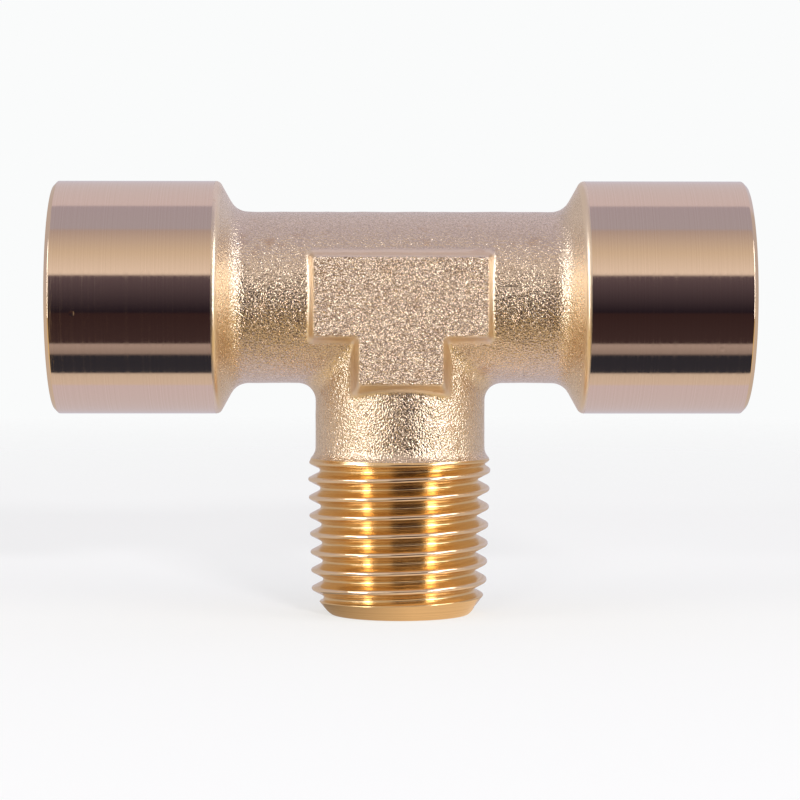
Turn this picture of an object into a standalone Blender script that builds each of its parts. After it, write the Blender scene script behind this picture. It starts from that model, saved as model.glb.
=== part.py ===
"""A forged brass tee fitting, in one piece: two female G 1/4 sockets in line, and a male R 1/4 branch.

The body is one hot forging. Its two collars, its three bores and its three threads are then machined,
so the whole fitting is a single solid with no joint, seam or moving piece in it.

Frame: the origin is the centre of the branch's end face, which the fitting stands on. +Z runs up the
branch to the run, +X runs along the run, and the two T-shaped pads face -Y and +Y. Units are metres.
"""

import math

import bmesh
import bpy
from mathutils import Matrix, Vector

MM = 0.001

# Whitworth pipe thread, size 1/4, 19 turns to the inch.
PITCH = 25.4 / 19 * MM
THREAD_DEPTH = 0.856 * MM
MAJOR_RADIUS = 13.157 / 2 * MM
MINOR_RADIUS = MAJOR_RADIUS - THREAD_DEPTH
FLANK_ANGLE = math.radians(27.5)
ROOT_WIDTH = 0.2 * MM
GAUGE_LENGTH = 6.0 * MM  # where the tapered thread has its nominal diameter, from the end face
TAPER = 1 / 32  # growth of the radius with height
THREAD_PHASE = 0.417 * MM  # height at which a male groove's lower edge crosses the +X side

# The ways through.
RUN_BORE_RADIUS = 4.0 * MM
BRANCH_BORE_RADIUS = 3.75 * MM
BRANCH_MOUTH_CHAMFER = 0.3 * MM
SOCKET_DEPTH = 12.0 * MM
SOCKET_THREAD_LENGTH = 10.4 * MM
SOCKET_DRILL_RADIUS = MINOR_RADIUS - 0.07 * MM  # drilled before the thread is tapped
SOCKET_MOUTH_RADIUS = MAJOR_RADIUS + 0.27 * MM
DRILL_POINT = math.radians(59)  # half angle of the drilled socket floor

# The run: a forged tube with a turned collar at each end.
RUN_HEIGHT = 23.2 * MM  # run axis above the branch's end face
RUN_HALF_LENGTH = 25.2 * MM  # branch axis to a socket's end face
TUBE_WALL = 2.26 * MM
TUBE_RADIUS = RUN_BORE_RADIUS + TUBE_WALL
COLLAR_WALL = 1.92 * MM  # metal outside a socket's thread
COLLAR_RADIUS = MAJOR_RADIUS + COLLAR_WALL
COLLAR_LENGTH = 11.75 * MM
COLLAR_CHAMFER = 0.28 * MM
FLARE_SLOPE = math.radians(60.8)  # cone between the tube and a collar, from the run axis
FLARE_FILLET = 1.5 * MM
FLARE_CROWN = 0.45 * MM  # rounding where the cone meets the collar

# The branch: a forged neck, then a turned blank that carries the male thread.
NECK_WALL = 2.44 * MM
NECK_RADIUS = BRANCH_BORE_RADIUS + NECK_WALL
NECK_FILLET = 1.3 * MM  # rounding between the tube and the neck
THREAD_TOP = 11.47 * MM  # top of the turned blank, above the end face
LIP_RISE = 0.8 * MM  # height over which the neck swells to the blank
LIP_TURNS = 0.4  # plain lip left above the thread's run-out, in pitches
END_WALL = 1.39 * MM  # metal round the bore at the end face
END_RADIUS = BRANCH_BORE_RADIUS + END_WALL
END_SLOPE = 0.76  # growth of the end chamfer's radius with height

# The T-shaped pads, front and back, sized at their flat faces.
PAD_RISE = 0.74 * MM  # flat face above the tube: 14 mm across the two faces
PAD_REACH = TUBE_RADIUS + PAD_RISE
PAD_HALF_WIDTH = 6.25 * MM
PAD_TOP = 2.97 * MM  # above the run axis
PAD_UNDERSIDE = -2.75 * MM
PAD_STEM_HALF_WIDTH = 3.03 * MM
PAD_STEM_END = -6.18 * MM
PAD_DEPTH = 2.4 * MM  # flat face to the plane inside the metal where the pad starts
PAD_DRAFT = math.radians(15)

# Modelling.
ROUND_STEPS = 48
THREAD_STEPS = 32  # sides of the male thread and its neck
SOCKET_STEPS = 24  # sides of the sockets and bores
CROWN_STEPS = 2
FILLET_STEPS = 4
FILLET_SECTIONS = 12
WELD = 1e-7
SINK = 0.02 * MM  # how far joined shapes dip into each other
ROD_TURN = 0.37  # part of a side by which a tapped thread's edges are turned off its drilled bore's
REACH_PAST = 1.0 * MM  # how far a cutter runs past the faces that it opens
SHARP_ANGLE = math.radians(30)

BRASS = (0.78, 0.57, 0.33, 1.0)


def clear_scene():
    for thing in list(bpy.data.objects):
        bpy.data.objects.remove(thing)


def make_collection(name):
    collection = bpy.data.collections.new(name)
    bpy.context.scene.collection.children.link(collection)
    return collection


def make_material(name, colour, roughness, metallic):
    material = bpy.data.materials.new(name)
    material.use_nodes = True
    shader = material.node_tree.nodes["Principled BSDF"]
    shader.inputs["Base Color"].default_value = colour
    shader.inputs["Roughness"].default_value = roughness
    shader.inputs["Metallic"].default_value = metallic
    return material


def add_object(name, mesh, collection):
    thing = bpy.data.objects.new(name, mesh)
    collection.objects.link(thing)
    return thing


def make_helper(thing):
    """Marks a shape that only cuts or adds to the body."""
    thing.hide_render = True
    thing.display_type = "WIRE"
    return thing


def mesh_from_bmesh(name, shape):
    bmesh.ops.recalc_face_normals(shape, faces=shape.faces)
    mesh = bpy.data.meshes.new(name)
    shape.to_mesh(mesh)
    shape.free()
    return mesh


def turned(name, outline, collection, steps):
    """An outline of (radius, height) points, from top to bottom, turned about Z."""
    mesh = bpy.data.meshes.new(name)
    points = [(radius, 0.0, height) for radius, height in outline]
    mesh.from_pydata(points, [(i, i + 1) for i in range(len(points) - 1)], [])
    thing = add_object(name, mesh, collection)
    screw = thing.modifiers.new("turn", "SCREW")
    screw.axis = "Z"
    screw.steps = steps
    screw.render_steps = steps
    screw.use_merge_vertices = True
    screw.merge_threshold = WELD
    return thing


def arc(centre, radius, start, end, steps):
    """Points on a circle from one angle to another, both included."""
    angles = [start + (end - start) * i / steps for i in range(steps + 1)]
    return [(centre[0] + radius * math.cos(a), centre[1] + radius * math.sin(a)) for a in angles]


def neck(collection):
    """The forged neck from the run axis down to the lip, and a core that reaches into the thread."""
    lip_radius = MAJOR_RADIUS + (THREAD_TOP - GAUGE_LENGTH) * TAPER - SINK
    swell = lip_radius - NECK_RADIUS
    core = MINOR_RADIUS - THREAD_DEPTH
    outline = [
        (0.0, RUN_HEIGHT),
        (NECK_RADIUS, RUN_HEIGHT),
        (NECK_RADIUS, THREAD_TOP + LIP_RISE),
        (NECK_RADIUS + 0.3 * swell, THREAD_TOP + 0.4 * LIP_RISE),
        (lip_radius, THREAD_TOP - SINK),
        (core, THREAD_TOP - LIP_TURNS * PITCH),
        (0.0, THREAD_TOP - LIP_TURNS * PITCH),
    ]
    return turned("tee_body", outline, collection, THREAD_STEPS)


def flare_outline(side):
    """Half of the run's outside, from a socket's end face to the middle, as (radius, distance) points.

    The flare is a straight cone with a hollow fillet onto the tube and a crown onto the collar.
    side is 1 above the middle and -1 below it.
    """
    collar_start = RUN_HALF_LENGTH - COLLAR_LENGTH
    # Arcs are drawn with distance along the run as x and radius as y. The crown ends at the collar.
    crown_centre = (collar_start, COLLAR_RADIUS - FLARE_CROWN)
    crown = arc(crown_centre, FLARE_CROWN, math.pi / 2, math.pi / 2 + FLARE_SLOPE, CROWN_STEPS)
    cone_start, cone_top = crown[-1]
    # The fillet's radius is limited by the height of the cone.
    cone_height = cone_top - TUBE_RADIUS
    fillet_radius = min(FLARE_FILLET, 0.9 * cone_height / (1 - math.cos(FLARE_SLOPE)))
    straight_height = cone_height - fillet_radius * (1 - math.cos(FLARE_SLOPE))
    cone_end = cone_start - straight_height / math.tan(FLARE_SLOPE)
    fillet_centre = (cone_end - fillet_radius * math.sin(FLARE_SLOPE), TUBE_RADIUS + fillet_radius)
    fillet = arc(fillet_centre, fillet_radius, FLARE_SLOPE - math.pi / 2, -math.pi / 2, FILLET_STEPS)
    ring = [
        (RUN_HALF_LENGTH, 0.0),
        (RUN_HALF_LENGTH, COLLAR_RADIUS - COLLAR_CHAMFER),
        (RUN_HALF_LENGTH - COLLAR_CHAMFER, COLLAR_RADIUS),
    ]
    points = [(radius, side * distance) for distance, radius in ring + crown + fillet]
    return points[::side]


def lay_along_run(thing):
    """Turns a shape that was made about Z, so that it lies about the run's axis."""
    thing.rotation_euler = (0.0, math.pi / 2, 0.0)
    thing.location = (0.0, 0.0, RUN_HEIGHT)
    return thing


def run_outside(collection):
    outline = flare_outline(1) + flare_outline(-1)
    return lay_along_run(turned("run_outside", outline, collection, ROUND_STEPS))


def neck_fillets(collection):
    """The rounding in the two corners between tube and neck.

    A ball of the fillet's radius rolls along the corner, touching both cylinders. Each section holds
    its path on the neck, its path on the tube, the arc between them, and a point inside the metal.
    """
    shape = bmesh.new()
    neck_reach = NECK_RADIUS + NECK_FILLET
    tube_reach = TUBE_RADIUS + NECK_FILLET
    ball_radius = NECK_FILLET + SINK
    # The rolling stops inside the pads' stems, which hide the ends.
    last = math.sqrt(neck_reach**2 - (0.8 * PAD_STEM_HALF_WIDTH) ** 2)
    for side in (-1, 1):
        rings = []
        for i in range(FILLET_SECTIONS + 1):
            y = last * math.sin(math.pi * (i / FILLET_SECTIONS - 0.5))
            ball = Vector((math.sqrt(neck_reach**2 - y**2), y, -math.sqrt(tube_reach**2 - y**2)))
            to_neck = -Vector((ball.x, ball.y, 0.0)).normalized()
            to_tube = -Vector((0.0, ball.y, ball.z)).normalized()
            turns = [to_neck.slerp(to_tube, step / FILLET_STEPS) for step in range(FILLET_STEPS + 1)]
            points = [ball + turn * ball_radius for turn in turns] + [ball * 0.75]
            places = [(side * point.x, point.y, point.z + RUN_HEIGHT) for point in points]
            rings.append([shape.verts.new(place) for place in places])
        for ring, after in zip(rings, rings[1:]):
            for j, corner in enumerate(ring):
                k = (j + 1) % len(ring)
                shape.faces.new((corner, ring[k], after[k], after[j]))
        shape.faces.new(rings[0])
        shape.faces.new(rings[-1])
    return add_object("neck_fillets", mesh_from_bmesh("neck_fillets", shape), collection)


def pad(name, side, collection):
    """A T-shaped pad with drafted walls. side is -1 for the front pad and 1 for the back one."""
    growth = PAD_DEPTH * math.tan(PAD_DRAFT)
    root = side * (PAD_REACH - PAD_DEPTH)
    right = [
        (PAD_HALF_WIDTH + growth, PAD_TOP + growth),
        (PAD_HALF_WIDTH + growth, PAD_UNDERSIDE - growth),
        (PAD_STEM_HALF_WIDTH + growth, PAD_UNDERSIDE - growth),
        (PAD_STEM_HALF_WIDTH + growth, PAD_STEM_END - growth),
    ]
    left = [(-x, z) for x, z in reversed(right)]
    shape = bmesh.new()
    corners = [shape.verts.new((x, root, z + RUN_HEIGHT)) for x, z in right + left]
    face = shape.faces.new(corners[::side])
    face.normal_update()
    bmesh.ops.inset_region(
        shape, faces=[face], thickness=growth, depth=PAD_DEPTH, use_even_offset=True, use_boundary=True
    )
    rim = [edge for edge in shape.edges if edge.is_boundary]
    bmesh.ops.holes_fill(shape, edges=rim, sides=0)
    return add_object(name, mesh_from_bmesh(name, shape), collection)


def combine(body, helpers, operation):
    for helper in helpers:
        make_helper(helper)
        step = body.modifiers.new(helper.name, "BOOLEAN")
        step.operation = operation
        step.solver = "EXACT"
        step.object = helper


def threaded_rod(name, start, turns, steps, taper, fade_start, fade_radius, collection):
    """A rod about Z with a Whitworth thread, closed at both ends.

    One pitch of the thread's outline is carried up a helix, so that each turn meets the next. The
    radius grows by taper times the height above the gauge length. From fade_start upwards the thread
    flattens out, over one pitch, to the plain radius fade_radius.
    """
    flank = THREAD_DEPTH * math.tan(FLANK_ANGLE)
    section = [
        (MINOR_RADIUS, 0.0),
        (MINOR_RADIUS, ROOT_WIDTH),
        (MAJOR_RADIUS, ROOT_WIDTH + flank),
        (MAJOR_RADIUS, PITCH - flank),
        (MINOR_RADIUS, PITCH),
    ]
    mesh = bpy.data.meshes.new(name)
    points = [(radius, 0.0, start + height) for radius, height in reversed(section)]
    mesh.from_pydata(points, [(i, i + 1) for i in range(len(points) - 1)], [])
    rod = add_object(name, mesh, collection)
    screw = rod.modifiers.new("helix", "SCREW")
    screw.axis = "Z"
    screw.steps = steps
    screw.render_steps = steps
    screw.iterations = turns
    screw.screw_offset = PITCH
    shape = bmesh.new()
    shape.from_mesh(rod.evaluated_get(bpy.context.evaluated_depsgraph_get()).data)
    rod.modifiers.remove(screw)
    bmesh.ops.remove_doubles(shape, verts=shape.verts, dist=WELD)
    for vertex in shape.verts:
        radius = math.hypot(vertex.co.x, vertex.co.y)
        fade = min(1.0, max(0.0, (vertex.co.z - fade_start) / PITCH))
        growth = fade * (fade_radius - radius) + taper * (vertex.co.z - GAUGE_LENGTH)
        vertex.co.x *= 1 + growth / radius
        vertex.co.y *= 1 + growth / radius
    rims = [edge for edge in shape.edges if edge.is_boundary]
    ends = (start + PITCH / 2, start + (turns + 0.5) * PITCH)
    hubs = [shape.verts.new((0.0, 0.0, height)) for height in ends]
    for edge in rims:
        near_top = edge.verts[0].co.z > (ends[0] + ends[1]) / 2
        shape.faces.new((*edge.verts, hubs[near_top]))
    rod.data = mesh_from_bmesh(name, shape)
    return rod


def male_thread(collection):
    """The branch's tapered thread, trimmed to its end chamfer and to the lip that it runs out into."""
    start = THREAD_PHASE - 2 * PITCH
    turns = math.ceil((THREAD_TOP - start) / PITCH) + 1
    fade_start = THREAD_TOP - (1 + LIP_TURNS) * PITCH
    rod = threaded_rod(
        "male_thread", start, turns, THREAD_STEPS, TAPER, fade_start, MAJOR_RADIUS, collection
    )
    clear = MAJOR_RADIUS + REACH_PAST
    outline = [
        (0.0, THREAD_TOP),
        (clear, THREAD_TOP),
        (clear, (clear - END_RADIUS) / END_SLOPE),
        (END_RADIUS, 0.0),
        (0.0, 0.0),
    ]
    envelope = turned("thread_envelope", outline, collection, THREAD_STEPS)
    combine(rod, [envelope], "INTERSECT")
    return rod


def socket_thread(name, side, collection):
    """A cutter for a socket's parallel thread, from outside the mouth to its last turn."""
    start = -RUN_HALF_LENGTH - 2 * PITCH
    turns = math.ceil(SOCKET_THREAD_LENGTH / PITCH) + 2
    fade_start = SOCKET_THREAD_LENGTH - RUN_HALF_LENGTH - PITCH
    rod = threaded_rod(name, start, turns, SOCKET_STEPS, 0.0, fade_start, MINOR_RADIUS, collection)
    rod.data.transform(Matrix.Rotation(ROD_TURN * 2 * math.pi / SOCKET_STEPS, 4, "Z"))
    lay_along_run(rod)
    if side > 0:
        rod.rotation_euler = (0.0, -math.pi / 2, 0.0)
    return rod


def run_inside(collection):
    """Both sockets and the bore between them, as one turned cutter."""
    floor_rise = (SOCKET_DRILL_RADIUS - RUN_BORE_RADIUS) / math.tan(DRILL_POINT)
    socket_floor = RUN_HALF_LENGTH - SOCKET_DEPTH
    mouth_rise = SOCKET_MOUTH_RADIUS - SOCKET_DRILL_RADIUS
    upper = [
        (0.0, RUN_HALF_LENGTH + REACH_PAST),
        (SOCKET_MOUTH_RADIUS + REACH_PAST, RUN_HALF_LENGTH + REACH_PAST),
        (SOCKET_DRILL_RADIUS, RUN_HALF_LENGTH - mouth_rise),
        (SOCKET_DRILL_RADIUS, socket_floor),
        (RUN_BORE_RADIUS, socket_floor - floor_rise),
    ]
    lower = [(radius, -height) for radius, height in reversed(upper)]
    return lay_along_run(turned("run_inside", upper + lower, collection, SOCKET_STEPS))


def branch_inside(collection):
    mouth = BRANCH_BORE_RADIUS + BRANCH_MOUTH_CHAMFER
    outline = [
        (0.0, RUN_HEIGHT),
        (BRANCH_BORE_RADIUS, RUN_HEIGHT),
        (BRANCH_BORE_RADIUS, BRANCH_MOUTH_CHAMFER),
        (mouth + REACH_PAST, -REACH_PAST),
        (0.0, -REACH_PAST),
    ]
    return turned("branch_inside", outline, collection, SOCKET_STEPS)


def settle(body):
    """Keeps the joined and cut shape as the body's own mesh, smooth except at its real edges."""
    depsgraph = bpy.context.evaluated_depsgraph_get()
    outline = body.data
    body.data = bpy.data.meshes.new_from_object(body.evaluated_get(depsgraph))
    body.data.name = body.name
    body.modifiers.clear()
    bpy.data.meshes.remove(outline)
    body.data.shade_smooth()
    body.data.set_sharp_from_angle(angle=SHARP_ANGLE)


def build():
    clear_scene()
    parts = make_collection("tee_fitting")
    cutters = make_collection("cutters")
    body = neck(parts)
    body.data.materials.append(make_material("brass", BRASS, 0.35, 1.0))
    added = [
        run_outside(cutters),
        neck_fillets(cutters),
        pad("front_pad", -1, cutters),
        pad("back_pad", 1, cutters),
        male_thread(cutters),
    ]
    removed = [
        run_inside(cutters),
        branch_inside(cutters),
        socket_thread("left_socket_thread", -1, cutters),
        socket_thread("right_socket_thread", 1, cutters),
    ]
    combine(body, added, "UNION")
    combine(body, removed, "DIFFERENCE")
    settle(body)


build()
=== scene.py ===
"""A forged brass tee fitting: blasted forging skin, turned collars, two tapped sockets and a male branch.

Every surface is a function of two parameters, worked out on a grid. The pieces are the regions of one
body that are finished in different ways, and they meet on shared edges.
"""

import math

import bmesh
import bpy
import numpy as np
from mathutils import Matrix, Vector


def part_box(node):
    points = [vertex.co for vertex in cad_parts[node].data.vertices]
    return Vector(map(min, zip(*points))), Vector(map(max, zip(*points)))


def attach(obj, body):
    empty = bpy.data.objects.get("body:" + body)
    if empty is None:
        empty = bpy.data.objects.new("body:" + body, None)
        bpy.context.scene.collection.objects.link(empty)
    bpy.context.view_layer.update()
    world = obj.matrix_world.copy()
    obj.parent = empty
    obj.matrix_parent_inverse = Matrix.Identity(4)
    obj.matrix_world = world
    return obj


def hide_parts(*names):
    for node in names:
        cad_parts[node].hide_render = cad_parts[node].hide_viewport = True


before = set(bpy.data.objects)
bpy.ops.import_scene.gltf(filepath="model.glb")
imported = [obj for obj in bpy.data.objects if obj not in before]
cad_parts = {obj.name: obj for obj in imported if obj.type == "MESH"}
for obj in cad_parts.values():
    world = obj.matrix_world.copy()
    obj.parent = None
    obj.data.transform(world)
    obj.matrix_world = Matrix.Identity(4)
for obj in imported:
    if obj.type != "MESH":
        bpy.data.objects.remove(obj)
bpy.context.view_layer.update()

MM = 0.001
MERGE_DISTANCE = 2e-7  # metres within which two grids' corners are one
SLIVER_LENGTH = 1e-7

# Sizes that come from the frame, in millimetres.
low, high = (np.array(corner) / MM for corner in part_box("tee_body"))
HALF_LENGTH = high[0]
COLLAR_RADIUS = high[1]
RUN_HEIGHT = high[2] - COLLAR_RADIUS

# Whitworth pipe thread, size 1/4, in millimetres.
PITCH = 25.4 / 19
THREAD_DEPTH = 0.856
MAJOR_RADIUS = 13.157 / 2
MINOR_RADIUS = MAJOR_RADIUS - THREAD_DEPTH
FLANK = math.radians(27.5)
CREST_ROUNDING = 0.1373 * PITCH
GAUGE_LENGTH = 6.0
TAPER = 1 / 32
CREST_HEIGHT = 1.185  # where a male crest crosses the +X side, above the end face

# The forging, in millimetres.
TUBE_RADIUS = 6.26
NECK_RADIUS = 6.19
NECK_FILLET = 1.3
LEAST_FILLET = 1e-4
COLLAR_START = HALF_LENGTH - 11.75
FLARE_SLOPE = math.radians(60.8)
FLARE_FILLET = 1.5
FLARE_CROWN = 0.45
LIP_HEIGHT = 11.47
LIP_RADIUS = 6.52
LIP_RISE = 0.8
LIP_CURVE = 2.2  # how closely the lip's swelling keeps to the thread
THREAD_SHIFT = 0.065  # by which the cut thread sits off the forging's axis, to the left
CREST_WEAR = 0.03  # by which the male crests are rubbed down
PAD_REACH = 7.0
PAD_HALF_WIDTH = 6.25
PAD_TOP = 2.97
PAD_UNDERSIDE = -2.75
PAD_STEM = 3.03
PAD_STEM_END = -6.18
PAD_DRAFT = math.radians(11)
PAD_END_DRAFT = math.radians(25)
PAD_FOOT = 0.36  # rounding where a pad's wall meets the forging
PAD_EDGE = 0.16  # rounding of a pad's face edge
PAD_CORNER = 0.3  # rounding of the T's corners
STEM_OVERLAP = 1.5  # by which the stem's block runs up into the bar's

# The gentle waves of a hot forging's skin: each one's direction, length and shift.
WAVES = ((0.3, 2.9, 0.4), (1.1, 2.1, 1.9), (1.9, 1.6, 3.1), (2.6, 1.2, 4.4))
WAVE_SLOPE = 0.0022  # a wave's height as a share of its length
COLLAR_GAP = 0.45  # unwaved band beside a collar
LIP_GAP = 0.1  # unwaved band above the lip
WAVE_FADE = 0.8  # way over which the waves come in

# Turned and tapped surfaces, in millimetres.
COLLAR_CHAMFER = 0.3
COLLAR_EDGE = 0.05
SOCKET_MOUTH_RADIUS = MAJOR_RADIUS + 0.27
SOCKET_DEPTH = 12.0
SOCKET_THREAD_LENGTH = 10.4
DRILL_POINT = math.radians(59)
DRILL_CORNER = 0.15
RUN_BORE = 4.0
BRANCH_BORE = 3.75
BRANCH_MOUTH = 0.3
BRANCH_MOUTH_EDGE = 0.06
END_RADIUS = 5.17
END_ROUNDING = 0.1  # by which the end's rim is drawn in
END_ROUNDING_HEIGHT = 0.32
END_SLOPE = 0.76

# The male thread's run-out, measured down from the lip, in millimetres.
RUN_OUT_START = 0.9
RUN_OUT_LENGTH = 0.75
LIP_BLEND = 0.5  # stretch over which the last groove rises to the lip
SHIFT_FADE_HIGH = 1.2  # stretches over which the cut's shift dies away, at the lip and at the end
SHIFT_FADE_LOW = 0.8

# Burrs and dents on the crests: angle, height, half widths round and up, and lift outwards.
NICKS = (
    (-2.18, 2.15, 0.42, 0.18, 0.08),
    (-1.06, 10.3, 0.14, 0.14, -0.08),
    (-1.5, 5.1, 0.3, 0.1, -0.03),
)
RAGGED_LIFT = 0.003
CREST_BAND = 0.2  # depth below a crest at which nicks and raggedness have died away

# How finely the grids are laid, in millimetres.
SKIN_STEP = 0.2
OUTER_STEP = 0.22
FINE_STEP = 0.06
FINE_REACH = 0.55  # distance from a band's middle at which its close steps have died away
FINE_FADE = 0.15
DENSITY_SAMPLES = 4001

# Steps round a whole turn, and across a fan.
COLLAR_STEPS = 256
THREAD_STEPS = 180
END_STEPS = 180
SOCKET_STEPS = 128
BORE_STEPS = 96
FAN_STEPS = 34


# ---------------------------------------------------------------- meshes


def as_object(name, points, faces, material, traits):
    """A mesh object at the origin from points in millimetres and faces as rows of four corners.

    The traits are named values, one for each point, which the material reads.
    """
    mesh = bpy.data.meshes.new(name)
    mesh.from_pydata((points * MM).tolist(), [], faces.tolist())
    for trait, values in traits.items():
        layer = mesh.attributes.new(trait, "FLOAT", "POINT")
        layer.data.foreach_set("value", values.astype(np.float32))
    shape = bmesh.new()
    shape.from_mesh(mesh)
    bmesh.ops.remove_doubles(shape, verts=shape.verts, dist=MERGE_DISTANCE)
    bmesh.ops.dissolve_degenerate(shape, edges=shape.edges, dist=SLIVER_LENGTH)
    shape.to_mesh(mesh)
    shape.free()
    mesh.shade_smooth()
    mesh.materials.append(material)
    thing = bpy.data.objects.new(name, mesh)
    bpy.context.scene.collection.objects.link(thing)
    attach(thing, "root")
    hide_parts("tee_body")
    return thing


def fade(value, start, end):
    """Nought at start, one at end, straight between them and level beyond."""
    return np.clip((value - start) / (end - start), 0, 1)


def join_grids(grids):
    """Points and quads of several grids of shape (rows, columns, 3), facing rows x columns."""
    points, faces, start = [], [], 0
    for grid in grids:
        rows, columns = grid.shape[:2]
        index = start + np.arange(rows * columns).reshape(rows, columns)
        quads = np.stack([index[:-1, :-1], index[1:, :-1], index[1:, 1:], index[:-1, 1:]], axis=-1)
        points.append(grid.reshape(-1, 3))
        faces.append(quads.reshape(-1, 4))
        start += rows * columns
    return np.concatenate(points), np.concatenate(faces)


def stops(start, end, step, bands):
    """Values from start to end, about step apart, and close together near each value in bands.

    The density of steps is summed along the way, and the values lie at equal shares of the sum.
    """
    samples = np.linspace(start, end, DENSITY_SAMPLES)
    near = np.min([np.abs(samples - band) for band in bands], axis=0)
    density = 1 / step + (1 / FINE_STEP - 1 / step) * np.clip((FINE_REACH - near) / FINE_FADE, 0, 1)
    total = np.concatenate([[0], np.cumsum((density[1:] + density[:-1]) / 2 * np.diff(samples))])
    count = int(math.ceil(total[-1]))
    return np.interp(np.linspace(0, total[-1], count + 1), total, samples)


# ---------------------------------------------------------------- the forging


def smooth_union(a, b, rounding):
    """The lesser of two distances, with a hollow rounding of that radius where they meet."""
    lift = np.hypot(np.maximum(rounding - a, 0), np.maximum(rounding - b, 0))
    return np.maximum(rounding, np.minimum(a, b)) - lift


def smooth_cut(a, b, rounding):
    """The greater of two distances, with a full rounding of that radius where they meet."""
    return -smooth_union(-a, -b, rounding)


def run_radius(x):
    """Radius of the run: tube, hollow fillet arc, straight cone, crown arc, collar."""
    along = np.abs(x)
    crown_drop = FLARE_CROWN * (1 - math.cos(FLARE_SLOPE))
    cone_top = COLLAR_START - FLARE_CROWN * math.sin(FLARE_SLOPE)
    fillet_rise = FLARE_FILLET * (1 - math.cos(FLARE_SLOPE))
    cone_height = COLLAR_RADIUS - crown_drop - TUBE_RADIUS - fillet_rise
    cone_foot = cone_top - cone_height / math.tan(FLARE_SLOPE)
    fillet_start = cone_foot - FLARE_FILLET * math.sin(FLARE_SLOPE)
    fillet = TUBE_RADIUS + FLARE_FILLET - np.sqrt(
        np.maximum(FLARE_FILLET**2 - (along - fillet_start) ** 2, 0)
    )
    cone = TUBE_RADIUS + fillet_rise + (along - cone_foot) * math.tan(FLARE_SLOPE)
    crown = COLLAR_RADIUS - FLARE_CROWN + np.sqrt(
        np.maximum(FLARE_CROWN**2 - (COLLAR_START - along) ** 2, 0)
    )
    return np.select(
        [along < fillet_start, along < cone_foot, along < cone_top, along < COLLAR_START],
        [TUBE_RADIUS + 0 * along, fillet, cone, crown],
        COLLAR_RADIUS,
    )


def neck_radius(height):
    """Radius of the branch's neck, which swells to the lip over the last stretch above the thread."""
    rise = np.clip((height - LIP_HEIGHT) / LIP_RISE, 0, 1)
    return NECK_RADIUS + (LIP_RADIUS - NECK_RADIUS) * (1 - rise) ** LIP_CURVE


def box_walls(x, up, half_width, bottom, top, growth, end_growth):
    """Distance outside a drafted block whose walls move out by growth, and its foot by end_growth."""
    lean = math.cos(PAD_DRAFT)
    sides = (np.abs(x) - half_width - growth) * lean
    above = (up - top - growth) * lean
    below = (bottom - up - end_growth) * lean
    return smooth_cut(smooth_cut(sides, above, PAD_CORNER), below, PAD_CORNER)


def pad_distance(x, y, up):
    """Distance outside the T-shaped pads: two drafted blocks in one, cut off by a flat face."""
    depth = PAD_REACH - np.abs(y)
    growth = depth * math.tan(PAD_DRAFT)
    bar = box_walls(x, up, PAD_HALF_WIDTH, PAD_UNDERSIDE, PAD_TOP, growth, growth)
    end_growth = depth * math.tan(PAD_END_DRAFT)
    stem_top = PAD_UNDERSIDE + STEM_OVERLAP
    stem = box_walls(x, up, PAD_STEM, PAD_STEM_END, stem_top, growth, end_growth)
    return smooth_cut(smooth_union(bar, stem, PAD_CORNER), -depth, PAD_EDGE)


def unevenness(x, y, z):
    """The sum of sines that cross at odd angles, each bent by a slower one; about 0.02 mm deep."""
    waves = 0
    for turn, length, shift in WAVES:
        way = x * math.cos(turn) + z * math.sin(turn) + y * math.cos(3 * turn)
        waves = waves + length * np.sin(2 * math.pi * way / length + shift + np.sin(way + 3 * shift))
    return WAVE_SLOPE * waves


def forging_distance(x, y, z):
    """Signed distance outside the forging: the run and the neck with their rounding, and the pads.

    The rounding between run and neck is that of a rolling ball, so it shrinks as their surfaces turn
    parallel at the front and the back.
    """
    up = z - RUN_HEIGHT
    from_run = np.hypot(y, up)
    from_branch = np.hypot(x, y)
    run = from_run - run_radius(x)
    neck = np.maximum(from_branch - neck_radius(z), up)
    facing = np.clip(y**2 / np.maximum(from_run * from_branch, 1e-6), 0, 1)
    rounding = NECK_FILLET * (1 - np.sqrt((1 + facing) / 2)) / (1 - math.sqrt(0.5))
    body = smooth_union(run, neck, np.maximum(rounding, LEAST_FILLET))
    from_machined = np.minimum(COLLAR_START - COLLAR_GAP - np.abs(x), z - LIP_HEIGHT - LIP_GAP)
    waves = unevenness(x, y, z) * np.clip(from_machined / WAVE_FADE, 0, 1)
    return smooth_union(body, pad_distance(x, y, up), PAD_FOOT) - waves


RAY_START = 0.5
RAY_END = 11.0
RAY_HALVINGS = 34


def cast_out(starts, ways):
    """Points where rays from inside leave the forging, by halving the stretch that holds its surface."""
    near = np.full(starts.shape[:-1], RAY_START)
    far = np.full(starts.shape[:-1], RAY_END)
    for _ in range(RAY_HALVINGS):
        middle = (near + far) / 2
        place = starts + ways * middle[..., None]
        outside = forging_distance(*np.moveaxis(place, -1, 0)) > 0
        far = np.where(outside, middle, far)
        near = np.where(outside, near, middle)
    return starts + ways * near[..., None]


PLATE = 4.4  # half width of the flat T that the rays leave, within run and neck
LEAN_REACH = 5.0  # way from an elbow's corner over which its rays straighten
LEAN_CURVE = 1.5


def fan_angles(count):
    """Angles across a fan, so that its rays are evenly spread where they reach the tube."""
    edge = math.acos(PLATE / TUBE_RADIUS)
    spread = np.linspace(edge, -edge, count + 1)
    return np.arctan2(TUBE_RADIUS * np.sin(spread), TUBE_RADIUS * np.cos(spread) - PLATE)


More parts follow.
